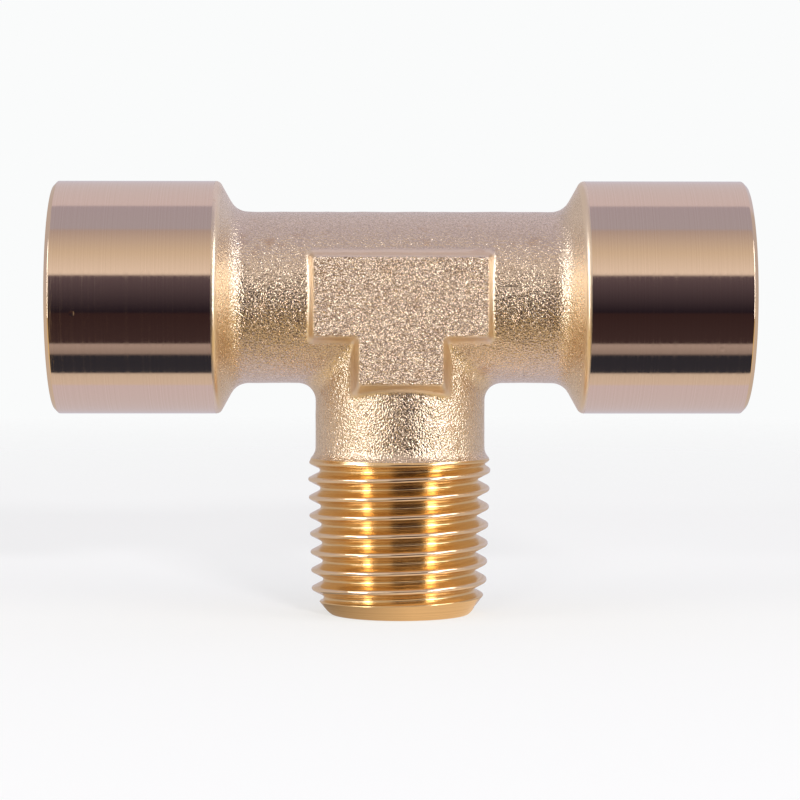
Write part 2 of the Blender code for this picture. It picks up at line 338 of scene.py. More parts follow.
def fan(spine, ways, angles):
    """Rays from each spine point, turning from the front, through its outward way, to the back."""
    out = np.cos(angles)[None, :, None] * ways[:, None, :]
    across = np.sin(angles)[None, :, None] * np.array([0.0, -1.0, 0.0])
    starts = np.broadcast_to(spine[:, None, :], (len(spine), len(angles), 3))
    return cast_out(starts, out + across)


def plate_face(xs, heights, side):
    """The surface straight out from the plate, at every x and height; side is -1 for the front."""
    x, z = np.meshgrid(xs, heights, indexing="ij")
    starts = np.stack([x, 0 * x, z], axis=-1)
    return cast_out(starts, np.broadcast_to(np.array([0.0, side, 0.0]), starts.shape))


# Where the skin bends sharply, as distances from the branch's axis, from the run's axis and from the end.
BENDS_ACROSS = (PAD_STEM + 0.25, PAD_HALF_WIDTH + 0.3, COLLAR_START - 0.2)
BENDS_UP = (PAD_UNDERSIDE - 0.3, PAD_TOP + 0.2)
BENDS_DOWN_THE_NECK = (RUN_HEIGHT + PAD_STEM_END - 0.4, LIP_HEIGHT + 0.1)


def forged_grids():
    """Five grids that share their edges: the run's wrap, the neck's front and back, and two elbows."""
    plate_x = stops(0, PLATE, SKIN_STEP, BENDS_ACROSS)
    outer_x = stops(PLATE, COLLAR_START, OUTER_STEP, BENDS_ACROSS)
    half = np.concatenate([plate_x, outer_x[1:]])
    xs = np.concatenate([-half[:0:-1], half])
    neck_x = np.concatenate([-plate_x[:0:-1], plate_x])
    high_up = stops(-PLATE, PLATE, SKIN_STEP, BENDS_UP) + RUN_HEIGHT
    low_down = stops(LIP_HEIGHT, RUN_HEIGHT - PLATE, SKIN_STEP, BENDS_DOWN_THE_NECK)
    angles = fan_angles(FAN_STEPS)

    top = np.stack([xs, 0 * xs, 0 * xs + RUN_HEIGHT + PLATE], axis=-1)
    upward = np.broadcast_to(np.array([0.0, 0.0, 1.0]), top.shape)
    over = fan(top, upward, angles)
    front = plate_face(xs, high_up, -1)
    back = plate_face(xs, high_up[::-1], 1)
    wrap = np.concatenate([front, over[:, 1:-1], back], axis=1)

    neck_front = plate_face(neck_x, low_down, -1)
    neck_back = plate_face(neck_x, low_down[::-1], 1)
    grids = [wrap, neck_front, neck_back]
    for side in (-1, 1):
        run_part = np.stack([outer_x[::-1], 0 * outer_x, 0 * outer_x + RUN_HEIGHT - PLATE], axis=-1)
        neck_part = np.stack([0 * low_down + PLATE, 0 * low_down, low_down], axis=-1)[::-1]
        spine = np.concatenate([run_part, neck_part[1:]])
        # The rays lean from straight down, through the diagonal at the corner, to straight out.
        out_along = PLATE + LEAN_REACH - run_part[:, 0]
        down_along = neck_part[1:, 2] - RUN_HEIGHT + PLATE + LEAN_REACH
        lean_run = np.clip(out_along / LEAN_REACH, 0, 1) ** LEAN_CURVE * math.pi / 4
        neck_share = np.clip(down_along / LEAN_REACH, 0, 1) ** LEAN_CURVE
        lean_neck = math.pi / 2 - neck_share * math.pi / 4
        lean = np.concatenate([lean_run, lean_neck])
        ways = np.stack([np.sin(lean), 0 * lean, -np.cos(lean)], axis=-1)
        turned_way = np.array([side, 1.0, 1.0])
        elbow = fan(spine * turned_way, ways * turned_way, angles)
        grids.append(elbow[::side])
    return grids


# Distances over which a point comes to count as on a pad, beside it, up a flare and off the machined band.
ON_PAD = (0.06, 0.01)
BESIDE_PAD = (0.32, 0.12)
UP_FLARE = (0.25, 0.75)
OFF_MACHINED = (0.42, 0.54)
FLARE_START = PAD_HALF_WIDTH + 2
SKIN_BLASTING = 0.34  # on the tube and the neck, as a share of that on the pads' faces
WALL_LOSS = 0.8
# Up the flares the weaker blasting is partly a smoother finish and partly a painted sheen, as it also
# makes their colour paler.
FLARE_LOSS_AND_SHEEN = 0.45


def blasting(points):
    """How strongly the skin is blasted: full on the pads' faces, a third of that on the tube and the neck,
    weak on the pads' walls and up the flares, and nothing beside the collars. Up the flares the weaker
    blasting also makes the colour paler, which is a painted sheen.
    """
    x, y, z = points.T
    up = z - RUN_HEIGHT
    pad = pad_distance(x, y, up)
    on_face = fade(PAD_REACH - np.abs(y), *ON_PAD) * fade(np.abs(pad), *ON_PAD)
    on_wall = fade(np.maximum(pad, 0), *BESIDE_PAD) * (1 - on_face)
    on_flare = fade(np.hypot(y, up) - TUBE_RADIUS, *UP_FLARE) * (np.abs(x) > FLARE_START)
    as_forged = fade(COLLAR_START - np.abs(x), *OFF_MACHINED)
    skin = SKIN_BLASTING + (1 - SKIN_BLASTING) * on_face
    return skin * (1 - WALL_LOSS * on_wall) * (1 - FLARE_LOSS_AND_SHEEN * on_flare) * as_forged


def forged_skin(material):
    """The blasted skin of the forging, from collar to collar and down to the branch's lip."""
    points, faces = join_grids(forged_grids())
    return as_object("forged_skin", points, faces, material, {"blasting": blasting(points)})


# ---------------------------------------------------------------- turned surfaces


def turned_grid(outline, angles):
    """Rows of (radius, distance) carried round +Z: the radius by the angle's cosine and sine, and the
    distance along the axis.
    """
    radius = outline[:, 0][:, None]
    return np.stack(
        [radius * np.cos(angles), radius * np.sin(angles), outline[:, 1][:, None] + 0 * angles], axis=-1
    )


def lathe_way(points, axis):
    """Distance along a turned profile: the way along the axis plus the radius about it."""
    x, y, z = points.T
    if axis == "run":
        return np.abs(x) + np.hypot(y, z - RUN_HEIGHT)
    return z + np.hypot(x, y)


def about_run(grid, side):
    """Moves a grid made about +Z so that +Z points out along the run, to the left or the right."""
    x, y, z = np.moveaxis(grid, -1, 0)
    return np.stack([side * z, side * y, x + RUN_HEIGHT], axis=-1)


def rounded_outline(corners, roundings, step=0.4, arc_steps=5):
    """Points along an outline whose corners are rounded off, with straights split into steps."""
    corners = np.array(corners, dtype=float)
    pieces = [corners[:1]]
    for before, corner, after, rounding in zip(corners, corners[1:], corners[2:], roundings):
        back = (before - corner) / np.linalg.norm(before - corner)
        on = (after - corner) / np.linalg.norm(after - corner)
        turn = np.linspace(0, 1, arc_steps + 1)[:, None]
        # A quadratic curve through the corner's two tangent points stands in for the arc.
        start, end = corner + back * rounding, corner + on * rounding
        pieces.append((1 - turn) ** 2 * start + 2 * turn * (1 - turn) * corner + turn**2 * end)
    pieces.append(corners[-1:])
    path = np.concatenate(pieces)
    dense = [path[:1]]
    for start, end in zip(path, path[1:]):
        parts = max(1, int(np.ceil(np.linalg.norm(end - start) / step)))
        dense.append(start + (end - start) * np.arange(1, parts + 1)[:, None] / parts)
    return np.concatenate(dense)


def collar(name, side, material):
    """A turned collar: a cylinder, a small chamfer, and the ring of the socket's end face."""
    outline = rounded_outline(
        [
            (COLLAR_RADIUS, COLLAR_START),
            (COLLAR_RADIUS, HALF_LENGTH - COLLAR_CHAMFER),
            (COLLAR_RADIUS - COLLAR_CHAMFER, HALF_LENGTH),
            (SOCKET_MOUTH_RADIUS, HALF_LENGTH),
        ],
        [COLLAR_EDGE, COLLAR_EDGE],
    )
    grid = turned_grid(outline, np.linspace(0, 2 * math.pi, COLLAR_STEPS + 1))
    points, faces = join_grids([about_run(grid, side)])
    faces = faces[:, ::-1] if side < 0 else faces
    return as_object(name, points, faces, material, {"lathe": lathe_way(points, "run")})


def thread_drop(offset):
    """How far a Whitworth thread lies below its crest, at an axial offset from the crest's middle.

    An arc over the crest, a straight flank at 27.5 degrees, and an equal arc in the root.
    """
    away = np.abs((offset + PITCH / 2) % PITCH - PITCH / 2)
    run_out = CREST_ROUNDING * math.cos(FLANK)
    arc_drop = CREST_ROUNDING * (1 - math.sin(FLANK))
    crest = CREST_ROUNDING - np.sqrt(np.maximum(CREST_ROUNDING**2 - away**2, 0))
    flank = arc_drop + (away - run_out) / math.tan(FLANK)
    to_root = PITCH / 2 - away
    root = THREAD_DEPTH - CREST_ROUNDING + np.sqrt(np.maximum(CREST_ROUNDING**2 - to_root**2, 0))
    return np.where(away < run_out, crest, np.where(to_root < run_out, root, flank))


def pitch_offsets(arc_points=9, flank_points=6):
    """Offsets across one pitch, close together on the crest's and the root's arcs."""
    swing = np.linspace(-1, 1, arc_points) * (math.pi / 2 - FLANK)
    crest = CREST_ROUNDING * np.sin(swing)
    flank = np.linspace(crest[-1], PITCH / 2 - crest[-1], flank_points)[1:-1]
    root = PITCH / 2 + crest
    return np.concatenate([crest, flank, root, PITCH - flank[::-1], [PITCH + crest[0]]])


def helix(start, end, steps, phase, shift):
    """Angles and heights of a strip one pitch wide that winds from start to end, cut off level.

    Row by row the strip goes round the axis; its columns go across one pitch. Heights outside the
    two ends are moved onto them, which leaves level edges.
    """
    first = math.floor((start - phase) / PITCH) - 2
    turns = math.ceil((end - start) / PITCH) + 4
    wound = np.arange(turns * steps + 1) * 2 * math.pi / steps
    angle = wound[:, None] + 0 * shift[None, :]
    height = phase + PITCH * (first + wound[:, None] / (2 * math.pi)) + shift[None, :]
    return angle, np.clip(height, start, end)


def solid_faces(faces, height, low_end, high_end):
    """Keeps the faces that the level ends haven't flattened."""
    corners = height.reshape(-1)[faces]
    flat = (corners.max(axis=1) <= low_end + 1e-9) | (corners.min(axis=1) >= high_end - 1e-9)
    return faces[~flat]


def nicks(angle, height):
    """Small burrs and dents on the branch's crests, each a bell curve both ways, in millimetres out."""
    lift = 0
    for turn, place, wide, tall, out in NICKS:
        round_way = np.angle(np.exp(1j * (angle - turn))) * MAJOR_RADIUS
        lift = lift + out * np.exp(-((round_way / wide) ** 2) - ((height - place) / tall) ** 2)
    return lift


def raggedness(angle, height):
    """Fine raggedness of a cut crest, from sines of the way along it; under 0.01 mm."""
    turns = np.round((height - CREST_HEIGHT) / PITCH - angle / (2 * math.pi))
    along = (angle + 2 * math.pi * turns) * MAJOR_RADIUS
    return RAGGED_LIFT * (np.sin(along * 7.3) + np.sin(along * 13.1 + 1.0) * np.sin(along * 2.2))


def branch_radius(angle, height):
    """Radius of the male thread: tapered crests, run out below the lip, cut to the end's cone."""
    offset = height - CREST_HEIGHT - PITCH * angle / (2 * math.pi)
    crest = MAJOR_RADIUS - CREST_WEAR + (height - GAUGE_LENGTH) * TAPER
    run_out = np.clip((height - (LIP_HEIGHT - RUN_OUT_START)) / RUN_OUT_LENGTH, 0, 1)
    drop = thread_drop(offset)
    worn = (nicks(angle, height) + raggedness(angle, height)) * np.clip(1 - drop / CREST_BAND, 0, 1)
    threaded = crest - drop * (1 - run_out**2) + worn
    blend = np.clip((height - (LIP_HEIGHT - LIP_BLEND)) / LIP_BLEND, 0, 1)
    drawn_in = END_ROUNDING * np.clip(1 - height / END_ROUNDING_HEIGHT, 0, 1) ** 2
    cone = END_RADIUS + END_SLOPE * height - drawn_in
    return np.minimum(threaded * (1 - blend) + LIP_RADIUS * blend, cone)


def thread_depth(height, radius):
    """Depth below the unworn crests, as a share of the thread's depth."""
    crest = MAJOR_RADIUS + (height - GAUGE_LENGTH) * TAPER
    return np.clip((crest - radius) / THREAD_DEPTH, 0, 1).reshape(-1)


def branch_thread(material):
    """The branch's male thread, from its end chamfer up to the lip."""
    angle, height = helix(0.0, LIP_HEIGHT, THREAD_STEPS, CREST_HEIGHT, pitch_offsets())
    radius = branch_radius(angle, height)
    grid = np.stack([radius * np.cos(angle), radius * np.sin(angle), height], axis=-1)
    below_lip = np.clip((LIP_HEIGHT - height) / SHIFT_FADE_HIGH, 0, 1)
    grid[..., 0] -= THREAD_SHIFT * below_lip * np.clip(height / SHIFT_FADE_LOW, 0, 1)
    points, faces = join_grids([grid])
    faces = solid_faces(faces, height, 0.0, LIP_HEIGHT)
    traits = {"lathe": lathe_way(points, "branch"), "depth": thread_depth(height, radius)}
    return as_object("branch_thread", points, faces, material, traits)


def socket_radius(angle, height):
    """Radius of a socket from its mouth inwards: a countersink, then the tapped thread, run out."""
    offset = height - PITCH * angle / (2 * math.pi)
    run_out = np.clip((HALF_LENGTH - SOCKET_THREAD_LENGTH + PITCH - height) / PITCH, 0, 1)
    tapped = MAJOR_RADIUS - thread_drop(offset) * (1 - run_out) - THREAD_DEPTH * run_out
    mouth = SOCKET_MOUTH_RADIUS - (HALF_LENGTH - height)
    return np.maximum(tapped, mouth)


def socket(name, side, material):
    """A tapped socket: countersunk mouth, thread, plain drilled end and its conical floor."""
    last = HALF_LENGTH - SOCKET_THREAD_LENGTH
    angle, height = helix(last, HALF_LENGTH, SOCKET_STEPS, 0.0, pitch_offsets())
    radius = socket_radius(angle, height)
    grid = np.stack([radius * np.cos(angle), radius * np.sin(angle), height], axis=-1)
    points, faces = join_grids([about_run(grid, side)])
    faces = solid_faces(faces, height, last, HALF_LENGTH)
    floor = HALF_LENGTH - SOCKET_DEPTH
    rise = (MINOR_RADIUS - RUN_BORE) / math.tan(DRILL_POINT)
    corners = [(RUN_BORE, floor - rise), (MINOR_RADIUS, floor), (MINOR_RADIUS, last)]
    turn = np.linspace(0, 2 * math.pi, SOCKET_STEPS + 1)
    drilled = about_run(turned_grid(rounded_outline(corners, [DRILL_CORNER]), turn), side)
    more_points, more_faces = join_grids([drilled])
    both = np.concatenate([faces, more_faces[:, ::-1] + len(points)])
    points = np.concatenate([points, more_points])
    drop = thread_drop(height - PITCH * angle / (2 * math.pi)).reshape(-1)
    depth = np.concatenate([drop, np.zeros(len(more_points))]) / THREAD_DEPTH
    traits = {"lathe": lathe_way(points, "run"), "depth": depth}
    return as_object(name, points, both, material, traits)


def bores(material, rows_beside=20, rows_down=40):
    """The run's bore and the branch's bore, which open into each other.

    The run's bore is a grid of x and angle; where the branch opens into it, its angles stop at the
    hole's edge. The branch's bore is a grid of angle and height that ends on the same edge.
    """
    floor = HALF_LENGTH - SOCKET_DEPTH
    reach = floor - (MINOR_RADIUS - RUN_BORE) / math.tan(DRILL_POINT)
    turn = np.linspace(0, 2 * math.pi, BORE_STEPS + 1)
    left = -np.linspace(reach, BRANCH_BORE, rows_beside)[:-1]
    hole_x = BRANCH_BORE * np.cos(turn[: BORE_STEPS // 2 + 1])[::-1]
    right = np.linspace(BRANCH_BORE, reach, rows_beside)[1:]
    xs = np.concatenate([left, hole_x, right])
    half_hole = np.sqrt(np.maximum(BRANCH_BORE**2 - xs**2, 0))
    limit = math.pi - np.arcsin(half_hole / RUN_BORE)
    angle = limit[:, None] * np.linspace(-1, 1, BORE_STEPS + 1)[None, :]
    x = xs[:, None] + 0 * angle
    run = np.stack([x, RUN_BORE * np.sin(angle), RUN_HEIGHT + RUN_BORE * np.cos(angle)], axis=-1)
    edge = RUN_HEIGHT - np.sqrt(RUN_BORE**2 - (BRANCH_BORE * np.sin(turn)) ** 2)
    share = np.linspace(0, 1, rows_down)[:, None]
    height = BRANCH_MOUTH + share * (edge - BRANCH_MOUTH)
    wall_x = BRANCH_BORE * np.cos(turn) + 0 * height
    wall_y = BRANCH_BORE * np.sin(turn) + 0 * height
    wall = np.stack([wall_x, wall_y, height], axis=-1)
    points, faces = join_grids([run[::-1], wall])
    return as_object("bores", points, faces, material, {"lathe": lathe_way(points, "run")})


def branch_end(material):
    """The ring at the branch's end and the small chamfer into its bore."""
    mouth, rim = BRANCH_BORE + BRANCH_MOUTH, END_RADIUS - END_ROUNDING
    corners = [(BRANCH_BORE, BRANCH_MOUTH), (mouth, 0.0), (rim, 0.0)]
    outline = rounded_outline(corners, [BRANCH_MOUTH_EDGE], step=0.2)
    points, faces = join_grids([turned_grid(outline, np.linspace(0, 2 * math.pi, END_STEPS + 1))])
    return as_object("branch_end", points, faces, material, {"lathe": lathe_way(points, "branch")})


# ---------------------------------------------------------------- finishes


class Wiring:
    """Short ways to add, set and link the nodes of one node tree."""

    def __init__(self, tree):
        self.nodes = tree.nodes
        self.links = tree.links

    def set(self, inlet, value):
        """Links an outlet to an inlet, or sets the inlet to a plain value."""
        if isinstance(value, bpy.types.NodeSocket):
            self.links.new(value, inlet)
        else:
            inlet.default_value = value

    def put(self, kind, outlet, **inlets):
        """Adds a node, sets or links its inlets, and gives back its outlet."""
        node = self.nodes.new(kind)
        for inlet, value in inlets.items():
            self.set(node.inputs[inlet], value)
        return node.outputs[outlet]

    def sum(self, operation, *values):
        """A sum, product or the like of two or three values."""
        node = self.nodes.new("ShaderNodeMath")
        node.operation = operation
        for inlet, value in zip(node.inputs, values):
            self.set(inlet, value)
        return node.outputs[0]

    def spread(self, value, low, high, start=0.3, end=0.7):
        """Stretches the range from start to end onto the one from low to high, and holds it there."""
        node = self.nodes.new("ShaderNodeMapRange")
        self.links.new(value, node.inputs["Value"])
        for inlet, number in (("From Min", start), ("From Max", end), ("To Min", low), ("To Max", high)):
            node.inputs[inlet].default_value = number
        return node.outputs["Result"]

    def tints(self, share, first, last):
        """A colour between two, by share."""
        node = self.nodes.new("ShaderNodeMix")
        node.data_type = "RGBA"
        self.set(node.inputs["Factor"], share)
        for inlet, colour in ((node.inputs[6], first), (node.inputs[7], last)):
            self.set(inlet, colour if isinstance(colour, bpy.types.NodeSocket) else (*colour, 1.0))
        return node.outputs[2]

    def mixed(self, share, first, last):
        """A shader between two, by share."""
        node = self.nodes.new("ShaderNodeMixShader")
        for inlet, outlet in zip(node.inputs, (share, first, last)):
            self.links.new(outlet, inlet)
        return node.outputs[0]

    def place(self):
        """The piece's own coordinates, in metres."""
        return self.nodes.new("ShaderNodeTexCoord").outputs["Object"]


class Finish(Wiring):
    """A material with one main shader, and ways to vary it over a piece."""

    def __init__(self, name, metallic):
        self.material = bpy.data.materials.new(name)
        self.material.use_nodes = True
        super().__init__(self.material.node_tree)
        self.shader = self.nodes["Principled BSDF"]
        self.shade("Metallic", metallic)

    def shade(self, inlet, value):
        """Sets or links one of the main shader's inlets."""
        self.set(self.shader.inputs[inlet], value)

    def trait(self, name):
        """A named value that the mesh carries."""
        node = self.nodes.new("ShaderNodeAttribute")
        node.attribute_name = name
        return node.outputs["Fac"]

    def cloud(self, scale, detail, stretch=(1, 1, 1)):
        """Noise in the piece's own space, with so many features to the metre, stretched on an axis."""
        mapping = self.nodes.new("ShaderNodeMapping")
        mapping.inputs["Scale"].default_value = stretch
        self.links.new(self.place(), mapping.inputs["Vector"])
        return self.put("ShaderNodeTexNoise", "Fac", Vector=mapping.outputs[0], Scale=scale, Detail=detail)

    def rings(self, scale, detail):
        """Noise that changes only along the lathe's profile, with so many features to the millimetre."""
        node = self.nodes.new("ShaderNodeTexNoise")
        node.noise_dimensions = "1D"
        self.links.new(self.trait("lathe"), node.inputs["W"])
        node.inputs["Scale"].default_value = scale
        node.inputs["Detail"].default_value = detail
        return node.outputs["Fac"]

    def spots(self, scale, inner, outer):
        """Nothing inside scattered round spots and one outside them; sizes are shares of a cell."""
        cells = self.put("ShaderNodeTexVoronoi", "Distance", Vector=self.place(), Scale=scale)
        return self.spread(cells, 0.0, 1.0, inner, outer)

    def bump(self, height, distance):
        """Tips the normal by a height map of so many metres from trough to peak."""
        self.shade("Normal", self.put("ShaderNodeBump", 0, Strength=1.0, Height=height, Distance=distance))


# Colours of the brass, from the dull to the bright of each finish.
DULL_SPECK = (0.53, 0.41, 0.33)
BRIGHT_SPECK = (0.97, 0.84, 0.71)
# The smooth skin's colour, which up the flares is also a painted sheen.
SMOOTH_SKIN_AND_SHEEN = (0.97, 0.83, 0.65)
STAIN = (0.70, 0.48, 0.30)
PIT = (0.28, 0.16, 0.09)
DULL_TURNING = (0.88, 0.72, 0.56)
BRIGHT_TURNING = (0.92, 0.77, 0.61)
DULL_FLANK = (0.80, 0.57, 0.30)
BRIGHT_FLANK = (0.90, 0.68, 0.39)
RUBBED_CREST = (0.94, 0.78, 0.60)

# Depths of the marks on each finish, in metres.
SMOOTH_DINT = 0.00001
BLASTED_DINT = 0.00022
TURNED_MARK = 0.000004
THREAD_MARK = 0.00001


def blasted_brass():
    """Shot-blasted brass: fine dints and specks, a few stains and pits, satin and paler where it is
    smooth; up the flares that paleness is a painted sheen.
    """
    finish = Finish("blasted_brass", metallic=1.0)
    fine = finish.cloud(scale=7400, detail=1.0)
    broad = finish.cloud(scale=2600, detail=1.0)
    stains = finish.cloud(scale=700, detail=3.0)
    dints = finish.sum("MULTIPLY_ADD", broad, 0.5, fine)
    blasting = finish.trait("blasting")
    finish.bump(dints, finish.sum("MULTIPLY_ADD", blasting, BLASTED_DINT, SMOOTH_DINT))
    grain = finish.spread(fine, low=0.17, high=0.25)
    satin = finish.spread(blasting, low=0.12, high=0.0, start=0.1, end=0.33)
    finish.shade("Roughness", finish.sum("ADD", grain, satin))
    specks = finish.spread(finish.cloud(scale=8200, detail=1.0), low=0, high=1, start=0.38, end=0.62)
    worn = finish.tints(specks, DULL_SPECK, BRIGHT_SPECK)
    # Less blasted skin takes the smooth skin's paler colour; up the flares that paler colour is a painted
    # sheen.
    skin = finish.tints(blasting, SMOOTH_SKIN_AND_SHEEN, worn)
    stained = finish.tints(finish.spread(stains, low=0, high=0.5, start=0.62, end=0.75), skin, STAIN)
    pits = finish.spots(scale=260, inner=0.022, outer=0.034)
    finish.shade("Base Color", finish.tints(pits, PIT, stained))
    return finish.material


def turned_brass():
    """Lathe-turned brass: hairlines round the axis, longer, shallow waves along them, a few dents."""
    finish = Finish("turned_brass", metallic=1.0)
    hairs = finish.rings(scale=11.0, detail=3.0)
    feed = finish.rings(scale=2.6, detail=1.0)
    streaks = finish.cloud(scale=420, detail=3.0, stretch=(18, 1, 1))
    dents = finish.spots(scale=230, inner=0.01, outer=0.06)
    marks = finish.sum("MULTIPLY_ADD", hairs, 0.25, streaks)
    finish.bump(finish.sum("MULTIPLY_ADD", dents, 3.0, marks), TURNED_MARK)
    grain = finish.spread(hairs, low=-0.02, high=0.03)
    finish.shade("Roughness", finish.sum("ADD", grain, finish.spread(feed, low=0.055, high=0.095)))
    brightness = finish.spread(hairs, low=0, high=1)
    finish.shade("Base Color", finish.tints(brightness, DULL_TURNING, BRIGHT_TURNING))
    return finish.material


def thread_brass():
    """Cut brass threads: golden flanks with fine tool lines, and paler, rubbed crests."""
    finish = Finish("thread_brass", metallic=1.0)
    hairs = finish.rings(scale=9.0, detail=3.0)
    streaks = finish.cloud(scale=900, detail=3.0, stretch=(1, 1, 6))
    finish.bump(finish.sum("MULTIPLY_ADD", hairs, 0.4, streaks), THREAD_MARK)
    finish.shade("Roughness", finish.spread(streaks, low=0.16, high=0.25))
    flank = finish.tints(finish.spread(hairs, low=0, high=1), DULL_FLANK, BRIGHT_FLANK)
    rubbed = finish.spread(finish.trait("depth"), low=1.0, high=0.0, start=0.02, end=0.25)
    finish.shade("Base Color", finish.tints(rubbed, flank, RUBBED_CREST))
    return finish.material


# ---------------------------------------------------------------- studio

# The camera's place in millimetres from the run, its turns, and its lens.
CAMERA_DISTANCE = 210.0
CAMERA_RISE = 1.5
CAMERA_YAW = math.radians(0.68)
CAMERA_ROLL = math.radians(0.045)
CAMERA_PITCH = math.radians(2.459)
LENS = 128.9

# Brightness of the room by height of view: 0 looks at the room in front, 90 up, 180 behind, -90 down.
ROOM = (
    (-180, (0.60, 0.58, 0.66)),
    (-96.5, (0.62, 0.54, 0.62)),
    (-95, (0.66, 0.55, 0.50)),
    (-80.5, (0.62, 0.52, 0.46)),
    (-79, (0.032, 0.032, 0.045)),
    (-58, (0.026, 0.026, 0.038)),
    (-57, (0.28, 0.22, 0.21)),
    (-46.5, (0.40, 0.32, 0.31)),
    (-45, (0.05, 0.03, 0.033)),
    (-15, (0.035, 0.018, 0.02)),
    (-14, (0.016, 0.011, 0.018)),
    (21, (0.11, 0.08, 0.10)),
    (23, (0.80, 0.68, 0.62)),
    (45, (0.65, 0.53, 0.43)),
    (69.5, (0.44, 0.36, 0.36)),
    (71.5, (0.41, 0.38, 0.46)),
    (101, (0.41, 0.37, 0.46)),
    (103, (0.64, 0.56, 0.64)),
    (180, (0.60, 0.58, 0.66)),
)
# The same for what lies to the sides of the camera.
SIDES = (
    (-180, (0.56, 0.49, 0.46)),
    (-95, (0.64, 0.53, 0.44)),
    (-60, (0.78, 0.55, 0.24)),
    (-20, (0.46, 0.34, 0.21)),
    (0, (0.45, 0.37, 0.30)),
    (25, (0.85, 0.76, 0.70)),
    (60, (0.62, 0.54, 0.50)),
    (100, (0.52, 0.46, 0.48)),
    (180, (0.56, 0.49, 0.46)),
)
FRONT_LEFT = (-0.24, -0.17)  # sideways shares of the view between which the front of the room fades in
FRONT_RIGHT = (0.63, 0.70)  # and those between which it fades out again
LOW_REACH = 0.42  # share of its width to the right that it keeps below the fitting
LOW_TURN = (math.radians(-42), math.radians(-22))  # heights of view between which it widens to the full
BACKDROP = (0.957, 0.965, 0.965)

# The table round the foot, with lengths in millimetres.
TABLE_COLOUR = (0.4, 0.4, 0.4)
TABLE_GLOW = (0.55, 0.572, 0.578)
TABLE_RINGS = np.concatenate([[0.0], np.geomspace(5, 3000, 40)])
TABLE_STEPS = 96
TABLE_DROP = 0.01
TABLE_FADE = (0.09, 0.3)  # metres from the foot between which it fades into the backdrop
PATCH_COLOUR = (0.1, 0.1, 0.1)
PATCH_GLOW = (0.72, 0.55, 0.40)
PATCH_RINGS = np.linspace(0, 10, 10)
PATCH_STEPS = 64
PATCH_DROP = 0.02
PATCH_FORWARD = 6.5
PATCH_DIM = 0.3  # strength of its glow on the left
PATCH_SHADE = (-0.006, 0.001)  # metres across between which its glow rises to the full

# Soft lamps: azimuth and elevation in degrees, width, height and distance in metres, and power in watts.
# The metal doesn't mirror those of the second kind, which only throw its shadow on the table.
LAMPS = (
    ("left_strip", -49, 3, 0.065, 0.3, 0.5, 0.44),
    ("right_strip", 48, 3, 0.09, 0.3, 0.5, 0.54),
    ("left_wide", -66, 30, 0.22, 0.2, 0.5, 0.4),
    ("right_wide", 66, 30, 0.22, 0.2, 0.5, 0.46),
)
SHADE_LAMPS = (
    ("left_shade", -15, 18, 0.16, 0.06, 1.0, 1.8),
    ("right_shade", 17, 18, 0.16, 0.06, 1.0, 5.2),
)


def set_camera():
    """A long lens in front of the fitting, a little above its run and tipped down onto it."""
    camera = bpy.data.objects.new("camera", bpy.data.cameras.new("camera"))
    bpy.context.scene.collection.objects.link(camera)
    camera.data.lens = LENS
    camera.data.sensor_width = 36.0
    camera.data.clip_start = 0.01
    camera.data.clip_end = 10.0
    back = -CAMERA_DISTANCE
    place = (back * math.sin(CAMERA_YAW), back * math.cos(CAMERA_YAW), RUN_HEIGHT + CAMERA_RISE)
    turn = Matrix.Rotation(-CAMERA_YAW, 4, "Z") @ Matrix.Rotation(math.pi / 2 - CAMERA_PITCH, 4, "X")
    roll = Matrix.Rotation(CAMERA_ROLL, 4, "Z")
    camera.matrix_world = Matrix.Translation(Vector(place) * MM) @ turn @ roll
    bpy.context.scene.camera = camera


def room_ramp(wiring, share, table):
    """A colour by height of view, from rows of degrees and colour."""
    ramp = wiring.nodes.new("ShaderNodeValToRGB")
    spots = ramp.color_ramp.elements
    while len(spots) > 1:
        spots.remove(spots[-1])
    for i, (degrees, colour) in enumerate(table):
        spot = spots[0] if i == 0 else spots.new((degrees + 180) / 360)
        spot.position = (degrees + 180) / 360
        spot.color = (*colour, 1.0)
    wiring.links.new(share, ramp.inputs["Fac"])
    return ramp.outputs["Color"]


def set_room():
    """A soft studio, as a colour for each direction: the front of the room between its two sides.

    What the metal mirrors has dark gaps and bright bands. What the camera sees is an even backdrop.
    """
    world = bpy.data.worlds.new("studio")
    bpy.context.scene.world = world
    world.use_nodes = True
    world.node_tree.nodes.clear()
    wiring = Wiring(world.node_tree)
    way = wiring.nodes.new("ShaderNodeTexCoord").outputs["Generated"]
    split = wiring.nodes.new("ShaderNodeSeparateXYZ")
    wiring.links.new(way, split.inputs[0])
    ahead = wiring.sum("MULTIPLY", split.outputs["Y"], -1.0)
    angle = wiring.sum("ARCTAN2", split.outputs["Z"], ahead)
    share = wiring.spread(angle, 0.0, 1.0, -math.pi, math.pi)
    from_left = wiring.spread(split.outputs["X"], 0.0, 1.0, *FRONT_LEFT)
    reach = wiring.spread(angle, LOW_REACH, 1.0, *LOW_TURN)
    sideways = wiring.sum("DIVIDE", split.outputs["X"], reach)
    to_right = wiring.spread(sideways, 1.0, 0.0, *FRONT_RIGHT)
    in_front = wiring.sum("MULTIPLY", from_left, to_right)
    colour = wiring.tints(in_front, room_ramp(wiring, share, SIDES), room_ramp(wiring, share, ROOM))
    room = wiring.put("ShaderNodeBackground", 0, Color=colour)
    backdrop = wiring.put("ShaderNodeBackground", 0, Color=(*BACKDROP, 1.0))
    seen = wiring.nodes.new("ShaderNodeLightPath").outputs["Is Camera Ray"]
    output = wiring.nodes.new("ShaderNodeOutputWorld")
    wiring.links.new(wiring.mixed(seen, room, backdrop), output.inputs["Surface"])


